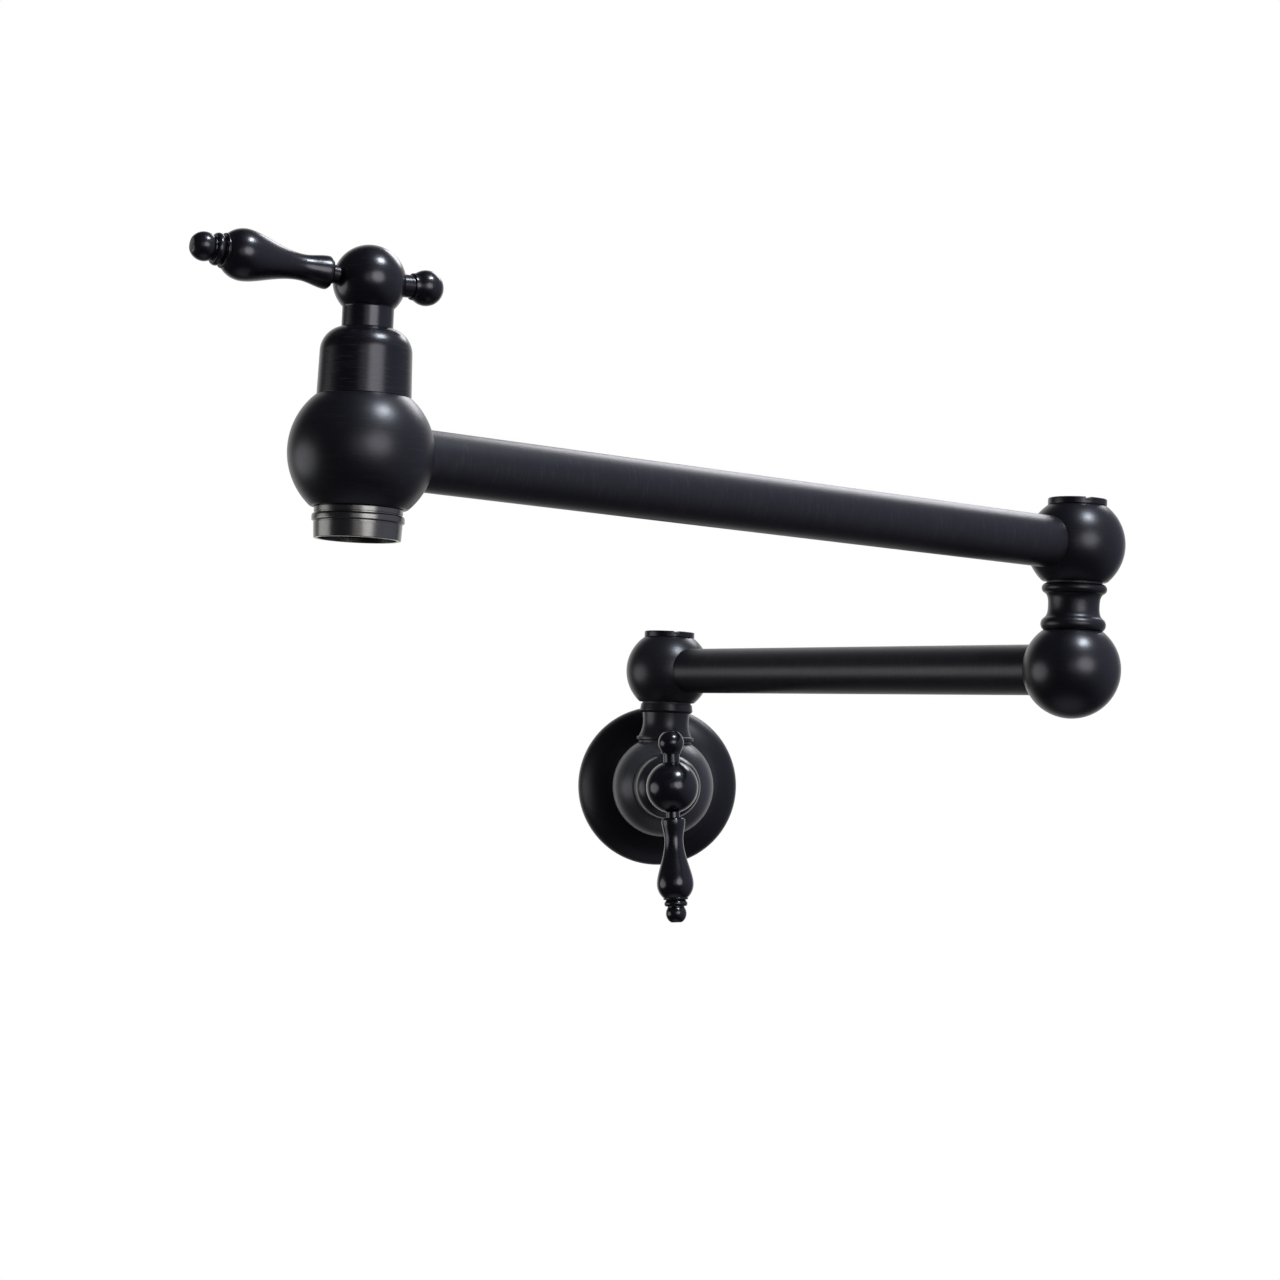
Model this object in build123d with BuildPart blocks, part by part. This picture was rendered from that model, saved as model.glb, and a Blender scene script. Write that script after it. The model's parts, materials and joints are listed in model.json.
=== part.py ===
from build123d import *
import os
from math import cos, radians, sin, sqrt

# A wall mounted pot filler: two tubes that fold on ball shaped swivels, with a valve at the wall
# and another above the outlet. The wall is the plane Y = 0 and the tap stands out towards -Y, +Z is
# up, and the origin is the centre of the flange's back face, on the axis of the wall valve.
# Sizes are in millimetres and degrees. Turned pieces are drawn as half sections: the first number
# of a point is a radius, the second a height along the piece's own axis.

# ---- arm layout ----
wall_to_column = 37.8       # wall to the upright axis of the wall valve and its swivel
column_rise = 51.3          # wall valve axis up to the centre of the swivel ball
inner_reach = 246.5         # wall swivel axis to elbow axis
inner_heading = -56.2       # direction of the inner arm, anticlockwise from +X
elbow_rise = 47.2           # lower ball of the elbow to its upper ball
outer_reach = 328.5         # elbow axis to outlet axis
outer_heading = 216.8       # direction of the outer arm, anticlockwise from +X
tube_radius = 9.75
tube_wall = 1.25

# ---- fits and edges ----
running_gap = 0.05          # a pin that turns in a bore, and faces that slide on each other
assembly_gap = 0.05         # a piece screwed or pressed into another
brazed_gap = 0.02           # a tube end in its socket
seal_gap = 0.01             # a rubber ring in its groove
open_gap = 0.3              # a turning piece that passes through a cover
edge = 0.5                  # bevel on the rims of turned pieces

# ---- ball swivels ----
joint_ball = 18.5           # radius of the four joint balls
foot_flat = 12.1            # radius of the flat under a swivel ball
cap_radius = 11.1
cap_overhang = 0.15         # cap beyond the flat that it sits on
cap_height = 2.6
cap_plug = 1.5
slot_width = 2.4
slot_depth = 1.6
wall_slot_heading = -77.0
elbow_slot_heading = -80.0
thrust_washer = 0.8
spigot_radius = 7.0
spigot_bore = 4.5
spigot_port = 3.0           # radius of the cross holes from the bore to the water space
spigot_drop = 5.9           # crown of the ball down to the spigot's shoulder
seal_from_foot = 4.0        # foot of the ball up to the lower O-ring
seal_from_shoulder = 2.4    # spigot's shoulder down to the upper O-ring
belt_from_foot = 8.0        # foot of the ball up to the ring shaped water space
belt_from_shoulder = 4.8    # spigot's shoulder down to that space
belt_depth = 2.2            # width of that space
belt_port = 3.8             # radius of the way from it to the tube
o_ring_thickness = 1.3
groove_play = 0.1           # groove beyond the O-ring, above and below
nut_well = 8.6              # radius of the space for the retaining nut
stud_radius = 4.95
stud_length = 3.9
nut_flats = 14.0
nut_height = 2.8
foot_stud_radius = 7.5      # screwed foot of a neck
foot_stud_length = 7.0
socket_wall = 1.8           # metal between a tube's end and the space behind it

# ---- wall neck ----
boss_drop = 2.3             # top of the valve ball down to the top of its boss
boss_radius = 11.7
neck_ring = 12.7
neck_ring_height = 1.8
wall_neck_waist = 10.15
neck_collar = 11.75
neck_collar_height = 3.5
neck_collar_taper = 0.45

# ---- elbow neck ----
elbow_bead = 12.25
elbow_throat = 10.95        # where the beads end
elbow_flat = 11.35          # radius of the lower ball's flat top
lower_bead_height = 4.8
upper_bead_height = 3.7
elbow_waist = 9.75
elbow_flare = 1.6           # height of the flare at each end of the waist

# ---- valve balls and cartridges ----
valve_ball = 22.4           # radius
bonnet_radius = 14.4        # at its foot
bonnet_land = 0.2           # flat of the ball that shows outside the bonnet
bonnet_taper = 0.35
bonnet_height = 21.0
bonnet_dome = 7.6           # height of its rounded shoulder
bonnet_wall = 1.85
ring_height = 3.0           # raised ring of the ball inside the bonnet
cartridge_thread = 9.0
cage_wall = 1.4
cage_bore = 7.2
thread_foot = 9.0           # lower end of the cartridge thread, out from the ball's centre
chamber_radius = 11.5
chamber_floor = -5.5
port_radius = 5.0
seal_height = 1.6
disc_height = 2.5
disc_gap = 0.02
disc_port = 1.9             # radius of each of a disc's two holes
disc_port_offset = 3.4
driver_height = 3.0
driver_play = 0.4           # driver inside the cage
tongue_width = 3.0
tongue_height = 1.0
cartridge_flats = 20.0
cartridge_flange = 3.5
gland_radius = 7.0
gland_height = 6.5
spindle_radius = 4.0
spline_radius = 3.75
spline_start = 1.0          # above the gland
spline_grooves = 16
groove_radius = 0.3

# ---- handles ----
skirt_radius = 7.85
skirt_start = 3.0           # above the gland
skirt_wall = 1.6
skirt_recess = 4.5
hub_radius = 11.2
hub_stand = 14.3            # bonnet top to the centre of the hub ball
spindle_clearance = 6.8     # hub ball's centre down to the spindle's end
lever_tilt = 4.2            # rise of the lever towards its tip
knob_tilt = 1.0             # rise of the knob opposite
wall_lever_swing = 4.0      # tip of the hanging lever, from straight down towards +X
spout_lever_heading = 205.8
handle_stud = 2.5
stud_root = 2.0             # inner end of a stud, from the valve axis
seat_depth = 0.8            # flat for a collar, sunk in the hub ball
lever_collar = 2.9
lever_stand = 2.0           # hub ball to the near end of the grip
lever_root_radius = 5.1
lever_root_round = 1.2
lever_waist = 4.0
lever_bulb = 7.85
grip_length = 28.0          # near end of the grip to the middle of its bulb
bulb_tail = 5.9             # bulb's middle to its end
tip_reach = 12.5            # bulb's middle to the middle of the tip ball
bead_height = 0.8
tip_disc = 4.95
tip_disc_height = 2.2
tip_ball = 4.4
tip_flat = 3.8              # middle of the tip ball to its flat end
tip_neck = 3.6
knob_neck = 3.6
knob_neck_length = 4.0
knob_ball = 5.65
knob_reach = 7.5            # hub ball to the middle of the knob
grub_radius = 2.0
grub_height = 3.1           # above the bonnet's top
grub_recess = 0.5
grub_key_flats = 2.0
grub_key_depth = 1.6

# ---- outlet ----
nozzle_radius = 13.5
nozzle_seat = 1.2           # flat of the spout ball that shows round the nozzle
nozzle_length = 9.5
nozzle_band = 1.6           # plain band at the top
nozzle_groove = 0.35        # depth of the two grooves
nozzle_groove_width = 0.4
nozzle_ridge = 0.65         # foot of the flared ring, beyond the bands
nozzle_ridge_height = 2.3
nozzle_bore = 10.4
nozzle_thread = 12.15
nozzle_thread_length = 4.1
aerator_radius = 11.9
aerator_wall = 1.6
aerator_height = 5.0
aerator_plate = 1.2
aerator_hole = 0.8
aerator_recess = 1.9
aerator_washer = 1.0

# ---- wall end ----
shank_radius = 14.0
shank_back = 1.2            # back end of the body, in front of the wall
inlet_thread = 10.45        # radius of the standard half inch pipe thread
inlet_depth = 16.0
nipple_out = 24.0           # nipple beyond the wall plane
nipple_bore = 7.6
nipple_bevel = 1.0
nipple_relief = 9.4         # radius of the plain waist between the nipple's two threads
nipple_relief_end = 2.5     # its outer end, behind the wall plane
strainer_thickness = 1.0
strainer_hole = 0.8
flange_radius = 36.1
flange_rim = 2.8
flange_wall = 2.2
flange_nose = 16.6          # radius of the flat nose of the flange
nose_to_ball = 7.36         # edge of the nose to the valve ball in front of it
gasket_height = 2.6
gasket_width = 3.0

# ---- derived stations ----
ball_foot = sqrt(joint_ball**2 - foot_flat**2)
ball_crown = sqrt(joint_ball**2 - (cap_radius - cap_overhang) ** 2)
elbow_top = sqrt(joint_ball**2 - elbow_flat**2)
neck_top = -ball_foot - thrust_washer
spigot_shoulder = ball_crown - spigot_drop
o_ring_heights = (seal_from_foot - ball_foot, spigot_shoulder - seal_from_shoulder)
belt_bottom = belt_from_foot - ball_foot
belt_top = spigot_shoulder - belt_from_shoulder
belt_middle = (belt_bottom + belt_top) / 2
belt_radius = spigot_radius + belt_depth
joint_socket_floor = belt_radius + socket_wall
boss_height = valve_ball - boss_drop
flange_depth = wall_to_column - sqrt(valve_ball**2 - flange_nose**2) - nose_to_ball
front_flat = sqrt(valve_ball**2 - (bonnet_radius + bonnet_land) ** 2)
base_flat = nozzle_radius + nozzle_seat
ball_base = sqrt(valve_ball**2 - base_flat**2)
spout_socket_floor = chamber_radius + socket_wall
ring_top = front_flat + ring_height
ring_radius = bonnet_radius - bonnet_wall - assembly_gap
gland_top = ring_top + cartridge_flange + gland_height
bonnet_top = front_flat + bonnet_height
hub_centre = bonnet_top + hub_stand
fixed_disc_foot = chamber_floor + seal_height
moving_disc_foot = fixed_disc_foot + disc_height + disc_gap
driver_foot = moving_disc_foot + disc_height
cage_roof = driver_foot + driver_height + running_gap
spindle_top = hub_centre - spindle_clearance
collar_seat = hub_radius - seat_depth
lever_root = hub_radius + lever_stand
bulb_centre = lever_root + grip_length
tip_centre = bulb_centre + tip_reach
knob_centre = hub_radius + knob_reach


def heading(angle):
    """Unit vector in the level plane, anticlockwise from +X."""
    return Vector(cos(radians(angle)), sin(radians(angle)), 0)


def square_to(direction, origin, reference):
    """Plane at origin whose normal is direction, with its X as near as can be to reference."""
    side = reference - direction * reference.dot(direction)
    return Plane(origin=origin, x_dir=side.normalized(), z_dir=direction)


wall_valve_point = Vector(0, -wall_to_column, 0)
wall_ball_point = wall_valve_point + Vector(0, 0, column_rise)
elbow_low_point = wall_ball_point + heading(inner_heading) * inner_reach
elbow_high_point = elbow_low_point + Vector(0, 0, elbow_rise)
spout_point = elbow_high_point + heading(outer_heading) * outer_reach

wall = Plane(origin=(0, 0, 0), x_dir=(1, 0, 0), z_dir=(0, -1, 0))
wall_valve = Plane(origin=wall_valve_point, x_dir=(1, 0, 0), z_dir=(0, -1, 0))
wall_column = Plane(origin=wall_valve_point, x_dir=(1, 0, 0), z_dir=(0, 0, 1))
wall_swivel = Plane(origin=wall_ball_point, x_dir=heading(inner_heading), z_dir=(0, 0, 1))
elbow_low = Plane(origin=elbow_low_point, x_dir=-heading(inner_heading), z_dir=(0, 0, 1))
elbow_swivel = Plane(origin=elbow_high_point, x_dir=heading(outer_heading), z_dir=(0, 0, 1))
spout_valve = Plane(origin=spout_point, x_dir=-heading(outer_heading), z_dir=(0, 0, 1))


def save(name, piece):
    """Label a finished piece and write it under its own name."""
    piece.part.label = name
    export_step(piece.part, f"parts/{name}.step")


def half_section(seat):
    """Sketch plane that holds the axis of a turned piece: X is its radius, Y its axis."""
    return Plane(origin=seat.origin, x_dir=seat.x_dir, z_dir=-seat.y_dir)


def axis_of(seat):
    return Axis(seat.origin, seat.z_dir)


def lathe(seat, *corners):
    """A piece turned about the seat's axis, from the corners of its straight sided half section."""
    with BuildPart() as turned:
        with BuildSketch(half_section(seat)):
            with BuildLine():
                Polyline(*corners, close=True)
            make_face()
        revolve(axis=axis_of(seat))
    return turned


def ring(seat, bottom, top, inner, outer):
    """A plain round or ring shaped piece between two heights."""
    with BuildPart() as piece:
        with BuildSketch(seat.offset(bottom)):
            Circle(outer)
            if inner > 0:
                Circle(inner, mode=Mode.SUBTRACT)
        extrude(amount=top - bottom)
    return piece


def bore(seat, bottom, top, radius):
    """Cut a round hole along the seat's axis out of the part being built."""
    add(ring(seat, bottom, top, 0, radius).part, mode=Mode.SUBTRACT)


def cut_o_ring_groove(seat, height, surface):
    """Cut the groove of an O-ring that lies level with a round surface, round its middle height."""
    half = o_ring_thickness / 2 + groove_play
    groove = ring(seat, height - half, height + half, surface - o_ring_thickness, 2 * surface)
    add(groove.part, mode=Mode.SUBTRACT)


def o_rings_at(seat, surface, *heights):
    """O-rings in the grooves of a round surface."""
    with BuildPart() as rings:
        for height in heights:
            with BuildSketch(half_section(seat)):
                with Locations((surface - o_ring_thickness / 2, height)):
                    Circle(o_ring_thickness / 2 - seal_gap)
            revolve(axis=axis_of(seat))
    return rings


def crossways(seat, direction, height=0.0):
    """Plane on the seat's axis at a height, facing along a direction square to that axis."""
    return square_to(direction, seat.origin + seat.z_dir * height, seat.z_dir)


# ---------------------------------------------------------------- wall end


def make_flange():
    """Domed cover flange, with a ledge inside its rim for the gasket."""
    hole = shank_radius + open_gap / 2
    lip = flange_radius - flange_wall
    shelf = lip - gasket_width
    inner_top = flange_depth - flange_wall
    with BuildPart() as flange:
        with BuildSketch(half_section(wall)):
            with BuildLine():
                Line((lip, 0), (flange_radius, 0))
                Line((flange_radius, 0), (flange_radius, flange_rim))
                EllipticalCenterArc(
                    (flange_nose, flange_rim), flange_radius - flange_nose, flange_depth - flange_rim
                )
                Line((flange_nose, flange_depth), (hole, flange_depth))
                Line((hole, flange_depth), (hole, inner_top))
                Line((hole, inner_top), (flange_nose, inner_top))
                EllipticalCenterArc(
                    (flange_nose, gasket_height), shelf - flange_nose, inner_top - gasket_height
                )
                Line((shelf, gasket_height), (lip, gasket_height))
                Line((lip, gasket_height), (lip, 0))
            make_face()
        revolve(axis=axis_of(wall))
    save("wall_flange", flange)
    save("flange_gasket", ring(wall, 0, gasket_height, shelf, lip - assembly_gap))


def make_inlet():
    """Threaded nipple that goes back into the wall, and the strainer at its inner end."""
    nipple_in = shank_back + inlet_depth - strainer_thickness
    nipple = lathe(
        wall,
        (nipple_bore, -nipple_out),
        (inlet_thread - nipple_bevel, -nipple_out),
        (inlet_thread, -nipple_out + nipple_bevel),
        (inlet_thread, -nipple_relief_end),
        (nipple_relief, -nipple_relief_end),
        (nipple_relief, shank_back),
        (inlet_thread, shank_back),
        (inlet_thread, nipple_in),
        (nipple_bore, nipple_in),
    )
    save("inlet_nipple", nipple)

    with BuildPart() as strainer:
        with BuildSketch(wall.offset(nipple_in)):
            Circle(inlet_thread - assembly_gap)
            cut_hole_rings(strainer_hole, (2.6, 6), (5.2, 12))
        extrude(amount=strainer_thickness)
    save("inlet_strainer", strainer)


def cut_hole_rings(hole_radius, *rings):
    """Cut a middle hole and rings of holes, each given by its radius and count, out of a sketch."""
    Circle(hole_radius, mode=Mode.SUBTRACT)
    for circle_radius, hole_count in rings:
        with PolarLocations(circle_radius, hole_count):
            Circle(hole_radius, mode=Mode.SUBTRACT)


# ---------------------------------------------------------------- valve balls


def cut_cartridge_bore(seat, way_out):
    """Thread, water chamber and seat port of a cartridge, cut down to way_out."""
    bore(seat, chamber_floor, ring_top, cartridge_thread + assembly_gap)
    bore(seat, chamber_floor, thread_foot, chamber_radius)
    bore(seat, way_out, chamber_floor, port_radius)


def valve_ball_blank(seat, foot, foot_radius):
    """Outside of a valve ball: flat front with a raised ring, and a flat or a shank behind."""
    foot_meets_ball = -sqrt(valve_ball**2 - foot_radius**2)
    land = bonnet_radius + bonnet_land
    with BuildPart() as blank:
        with BuildSketch(half_section(seat)):
            with BuildLine():
                ThreePointArc((foot_radius, foot_meets_ball), (valve_ball, 0), (land, front_flat))
                Polyline(
                    (land, front_flat),
                    (ring_radius, front_flat),
                    (ring_radius, ring_top),
                    (0, ring_top),
                    (0, foot),
                    (foot_radius, foot),
                )
                if foot < foot_meets_ball:
                    Line((foot_radius, foot), (foot_radius, foot_meets_ball))
            make_face()
        revolve(axis=axis_of(seat))
    return blank.part


def make_wall_valve_body():
    """Ball of the wall valve, with the shank behind it and the boss for the swivel neck on top."""
    shank_end = shank_back - wall_to_column
    inlet_end = shank_end + inlet_depth
    with BuildPart() as body:
        add(valve_ball_blank(wall_valve, shank_end, shank_radius))
        add(ring(wall_column, 0, boss_height, 0, boss_radius).part)
        bore(wall_column, boss_height, valve_ball, boss_radius)
        cut_cartridge_bore(wall_valve, inlet_end)
        bore(wall_valve, shank_end, inlet_end, inlet_thread + assembly_gap)
        bore(wall_column, boss_height - foot_stud_length, boss_height, foot_stud_radius + assembly_gap)
        bore(wall_column, 0, boss_height, spigot_bore)
    save("wall_valve_body", body)


def make_spout_body():
    """Ball of the outlet valve, with the tube's socket at its side and the nozzle's thread below."""
    thread_top = nozzle_thread_length + assembly_gap - ball_base
    arm_side = crossways(spout_valve, spout_valve.x_dir)
    with BuildPart() as body:
        add(valve_ball_blank(spout_valve, -ball_base, base_flat))
        cut_cartridge_bore(spout_valve, thread_top)
        bore(spout_valve, -ball_base, thread_top, nozzle_thread + assembly_gap)
        bore(arm_side, spout_socket_floor, valve_ball, tube_radius + brazed_gap)
        bore(arm_side, 0, spout_socket_floor, port_radius)
    save("spout_body", body)


def make_cartridge(prefix, seat):
    """The still parts of a quarter turn ceramic disc cartridge."""
    disc_radius = cage_bore - assembly_gap
    o_ring_height = ring_top - o_ring_thickness
    cage_radius = cage_bore + cage_wall
    stem_bore = spindle_radius + running_gap
    with BuildPart() as cartridge:
        add(lathe(
            seat,
            (cage_bore, chamber_floor),
            (cage_radius, chamber_floor),
            (cage_radius, thread_foot),
            (cartridge_thread, thread_foot),
            (cartridge_thread, ring_top),
            (gland_radius, ring_top),
            (gland_radius, gland_top),
            (stem_bore, gland_top),
            (stem_bore, cage_roof),
            (cage_bore, cage_roof),
        ).part)
        with BuildSketch(seat.offset(ring_top)):
            RegularPolygon(cartridge_flats / 2, 6, major_radius=False)
            Circle(stem_bore, mode=Mode.SUBTRACT)
        extrude(amount=cartridge_flange)
        with BuildSketch(seat.offset(moving_disc_foot)):
            Rectangle(3 * cage_radius, cage_bore)
        extrude(amount=cage_roof - moving_disc_foot, mode=Mode.SUBTRACT)
        cut_o_ring_groove(seat, o_ring_height, cartridge_thread)
    save(f"{prefix}_cartridge_body", cartridge)
    save(f"{prefix}_cartridge_o_ring", o_rings_at(seat, cartridge_thread, o_ring_height))
    save(f"{prefix}_seat_seal", ring(seat, chamber_floor, fixed_disc_foot, port_radius, disc_radius))

    with BuildPart() as fixed_disc:
        with BuildSketch(seat.offset(fixed_disc_foot)):
            Circle(disc_radius)
            with PolarLocations(disc_port_offset, 2):
                Circle(disc_port, mode=Mode.SUBTRACT)
        extrude(amount=disc_height)
    save(f"{prefix}_fixed_disc", fixed_disc)


def make_turning_valve_parts(prefix, seat, lever_direction):
    """The disc and spindle that the handle turns."""
    turned_seat = square_to(seat.z_dir, seat.origin, lever_direction)
    driver_radius = cage_bore - driver_play
    driver_bottom = driver_foot + assembly_gap
    spline_foot = gland_top + spline_start
    slot_foot = driver_foot - tongue_height - assembly_gap
    with BuildPart() as moving_disc:
        with BuildSketch(turned_seat.offset(moving_disc_foot)):
            Circle(driver_radius)
            with PolarLocations(disc_port_offset, 2, start_angle=90):
                Circle(disc_port, mode=Mode.SUBTRACT)
        extrude(amount=disc_height)
        with BuildSketch(turned_seat.offset(slot_foot)):
            Rectangle(3 * cage_bore, tongue_width + 2 * assembly_gap)
        extrude(amount=driver_foot - slot_foot, mode=Mode.SUBTRACT)
    save(f"{prefix}_moving_disc", moving_disc)

    with BuildPart() as spindle:
        add(lathe(
            turned_seat,
            (0, driver_bottom),
            (driver_radius, driver_bottom),
            (driver_radius, driver_foot + driver_height),
            (spindle_radius, driver_foot + driver_height),
            (spindle_radius, spline_foot),
            (spline_radius, spline_foot),
            (spline_radius, spindle_top),
            (0, spindle_top),
        ).part)
        with BuildSketch(turned_seat.offset(driver_foot - tongue_height)):
            Rectangle(2 * (driver_radius - assembly_gap - 1), tongue_width)
        extrude(amount=tongue_height + driver_height / 2)
        with BuildSketch(turned_seat.offset(spline_foot)):
            with PolarLocations(spline_radius, spline_grooves):
                Circle(groove_radius)
        extrude(amount=spindle_top - spline_foot, mode=Mode.SUBTRACT)
    save(f"{prefix}_spindle", spindle)


def make_bonnet(prefix, seat):
    """Smooth cover over the cartridge, with a domed shoulder."""
    hole = skirt_radius + open_gap
    shoulder = bonnet_top - bonnet_dome
    top_radius = bonnet_radius - bonnet_taper
    inside = bonnet_radius - bonnet_wall
    inside_shoulder = shoulder - bonnet_wall / 2
    inside_top = bonnet_top - bonnet_wall
    with BuildPart() as bonnet:
        with BuildSketch(half_section(seat)):
            with BuildLine():
                Polyline((inside, front_flat), (bonnet_radius, front_flat), (top_radius, shoulder))
                TangentArc((top_radius, shoulder), (hole, bonnet_top), tangent=(0, 1))
                Line((hole, bonnet_top), (hole, inside_top))
                TangentArc((inside, inside_shoulder), (hole, inside_top), tangent=(0, 1))
                Line((inside, inside_shoulder), (inside, front_flat))
            make_face()
        revolve(axis=axis_of(seat))
    save(f"{prefix}_bonnet", bonnet)


# ---------------------------------------------------------------- handles


def handle_side(seat, direction, tilt):
    """Plane at the hub's centre whose normal leans out of the level direction by a tilt."""
    outward = direction * cos(radians(tilt)) + seat.z_dir * sin(radians(tilt))
    return square_to(outward, seat.origin + seat.z_dir * hub_centre, seat.z_dir)


def make_hub(prefix, seat, lever_side, knob_side, grub_side):
    """Ball shaped hub with a skirt that drops into the bonnet."""
    skirt_foot = gland_top + skirt_start
    ball_meets_skirt = hub_centre - sqrt(hub_radius**2 - skirt_radius**2)
    hub_top = hub_centre + hub_radius
    with BuildPart() as hub:
        with BuildSketch(half_section(seat)):
            with BuildLine():
                Polyline((0, skirt_foot), (skirt_radius, skirt_foot), (skirt_radius, ball_meets_skirt))
                ThreePointArc((skirt_radius, ball_meets_skirt), (hub_radius, hub_centre), (0, hub_top))
                Line((0, hub_top), (0, skirt_foot))
            make_face()
        revolve(axis=axis_of(seat))
        bore(seat, skirt_foot, spindle_top + assembly_gap, spline_radius + assembly_gap)
        bore(seat, skirt_foot, skirt_foot + skirt_recess, skirt_radius - skirt_wall)
        for side, collar in ((lever_side, lever_collar), (knob_side, knob_neck)):
            bore(side, stud_root - assembly_gap, hub_radius, handle_stud + assembly_gap)
            bore(side, collar_seat, hub_radius + seat_depth, collar + assembly_gap)
        bore(grub_side, 0, hub_radius, grub_radius + assembly_gap)
    save(f"{prefix}_handle_hub", hub)


def make_lever(prefix, seat):
    """Turned lever: collar, waisted grip, bulb, bead, disc and flat ended tip ball."""
    grip_start = lever_root + lever_root_round
    face_radius = lever_root_radius - lever_root_round
    bulb_end = bulb_centre + bulb_tail
    bead_radius = sqrt(lever_bulb**2 - bulb_tail**2)
    bead_top = bulb_end + bead_height
    tip_start = tip_centre - sqrt(tip_ball**2 - tip_neck**2)
    tip_end = tip_centre + tip_flat
    flat_radius = sqrt(tip_ball**2 - tip_flat**2)
    disc_top = tip_start - edge
    disc_foot = disc_top - tip_disc_height
    disc_rim = tip_disc - edge
    with BuildPart() as lever:
        with BuildSketch(half_section(seat)):
            with BuildLine():
                Polyline(
                    (0, stud_root),
                    (handle_stud, stud_root),
                    (handle_stud, collar_seat),
                    (lever_collar, collar_seat),
                    (lever_collar, lever_root),
                    (face_radius, lever_root),
                )
                TangentArc((face_radius, lever_root), (lever_root_radius, grip_start), tangent=(1, 0))
                Spline(
                    (lever_root_radius, grip_start),
                    (lever_root_radius - 0.6, lever_root + 0.16 * grip_length),
                    (lever_waist, lever_root + 0.32 * grip_length),
                    (lever_waist + 0.35, lever_root + 0.48 * grip_length),
                    (lever_waist + 1.15, lever_root + 0.64 * grip_length),
                    (lever_bulb - 1.55, lever_root + 0.78 * grip_length),
                    (lever_bulb - 0.45, lever_root + 0.89 * grip_length),
                    (lever_bulb, bulb_centre),
                    tangents=((0, 1), (0, 1)),
                )
                TangentArc((lever_bulb, bulb_centre), (bead_radius, bulb_end), tangent=(0, 1))
                ThreePointArc(
                    (bead_radius, bulb_end),
                    (bead_radius + edge / 3, bulb_end + bead_height / 2),
                    (bead_radius - edge, bead_top),
                )
                Polyline((bead_radius - edge, bead_top), (tip_neck + edge, bead_top), (disc_rim, disc_foot))
                ThreePointArc(
                    (disc_rim, disc_foot), (tip_disc, (disc_foot + disc_top) / 2), (disc_rim, disc_top)
                )
                Polyline((disc_rim, disc_top), (tip_neck, disc_top), (tip_neck, tip_start))
                ThreePointArc((tip_neck, tip_start), (tip_ball, tip_centre), (flat_radius, tip_end))
                Polyline((flat_radius, tip_end), (0, tip_end), (0, stud_root))
            make_face()
        revolve(axis=axis_of(seat))
    save(f"{prefix}_handle_lever", lever)


def make_knob(prefix, seat):
    """Pear shaped knob opposite the lever."""
    neck_end = collar_seat + knob_neck_length
    blend_angle = radians(30)
    blend_radius = knob_ball * cos(blend_angle)
    blend_height = knob_centre - knob_ball * sin(blend_angle)
    with BuildPart() as knob:
        with BuildSketch(half_section(seat)):
            with BuildLine():
                Polyline(
                    (0, stud_root),
                    (handle_stud, stud_root),
                    (handle_stud, collar_seat),
                    (knob_neck, collar_seat),
                    (knob_neck, neck_end),
                )
                Spline(
                    (knob_neck, neck_end),
                    (blend_radius, blend_height),
                    tangents=((0, 1), (sin(blend_angle), cos(blend_angle))),
                )
                ThreePointArc(
                    (blend_radius, blend_height), (knob_ball, knob_centre), (0, knob_centre + knob_ball)
                )
                Line((0, knob_centre + knob_ball), (0, stud_root))
            make_face()
        revolve(axis=axis_of(seat))
    save(f"{prefix}_handle_knob", knob)


def make_grub_screw(prefix, seat):
    """Grub screw through the skirt, with a hexagon socket."""
    screw_tip = spline_radius + assembly_gap
    screw_end = skirt_radius - grub_recess
    with BuildPart() as grub:
        with BuildSketch(seat.offset(screw_tip)):
            Circle(grub_radius)
        extrude(amount=screw_end - screw_tip)
        with BuildSketch(seat.offset(screw_end)):
            RegularPolygon(grub_key_flats / 2, 6, major_radius=False)
        extrude(amount=-grub_key_depth, mode=Mode.SUBTRACT)
    save(f"{prefix}_handle_screw", grub)


def make_handle(prefix, seat, direction):
    """Hub, lever, knob and grub screw of one valve."""
    lever_side = handle_side(seat, direction, lever_tilt)
    knob_side = handle_side(seat, -direction, knob_tilt)
    grub_side = crossways(seat, direction.cross(seat.z_dir), bonnet_top + grub_height)
    make_hub(prefix, seat, lever_side, knob_side, grub_side)
    make_lever(prefix, lever_side)
    make_knob(prefix, knob_side)
    make_grub_screw(prefix, grub_side)


# ---------------------------------------------------------------- swivels


def make_swivel_ball(name, seat):
    """Ball that turns on a spigot: bored through, ported to its arm, closed by a cap."""
    crown_radius = cap_radius - cap_overhang
    bearing = spigot_radius + running_gap
    with BuildPart() as ball:
        with BuildSketch(half_section(seat)):
            with BuildLine():
                ThreePointArc((foot_flat, -ball_foot), (joint_ball, 0), (crown_radius, ball_crown))
                Polyline(
                    (crown_radius, ball_crown),
                    (nut_well, ball_crown),
                    (nut_well, spigot_shoulder),
                    (bearing, spigot_shoulder),
                    (bearing, belt_top),
                    (belt_radius, belt_top),
                    (belt_radius, belt_bottom),
                    (bearing, belt_bottom),
                    (bearing, -ball_foot),
                    (foot_flat, -ball_foot),
                )
            make_face()
        revolve(axis=axis_of(seat))
        bore(crossways(seat, seat.x_dir), joint_socket_floor, joint_ball, tube_radius + brazed_gap)
        bore(crossways(seat, seat.x_dir, belt_middle), belt_radius - 1, joint_ball, belt_port)
    save(name, ball)


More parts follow.
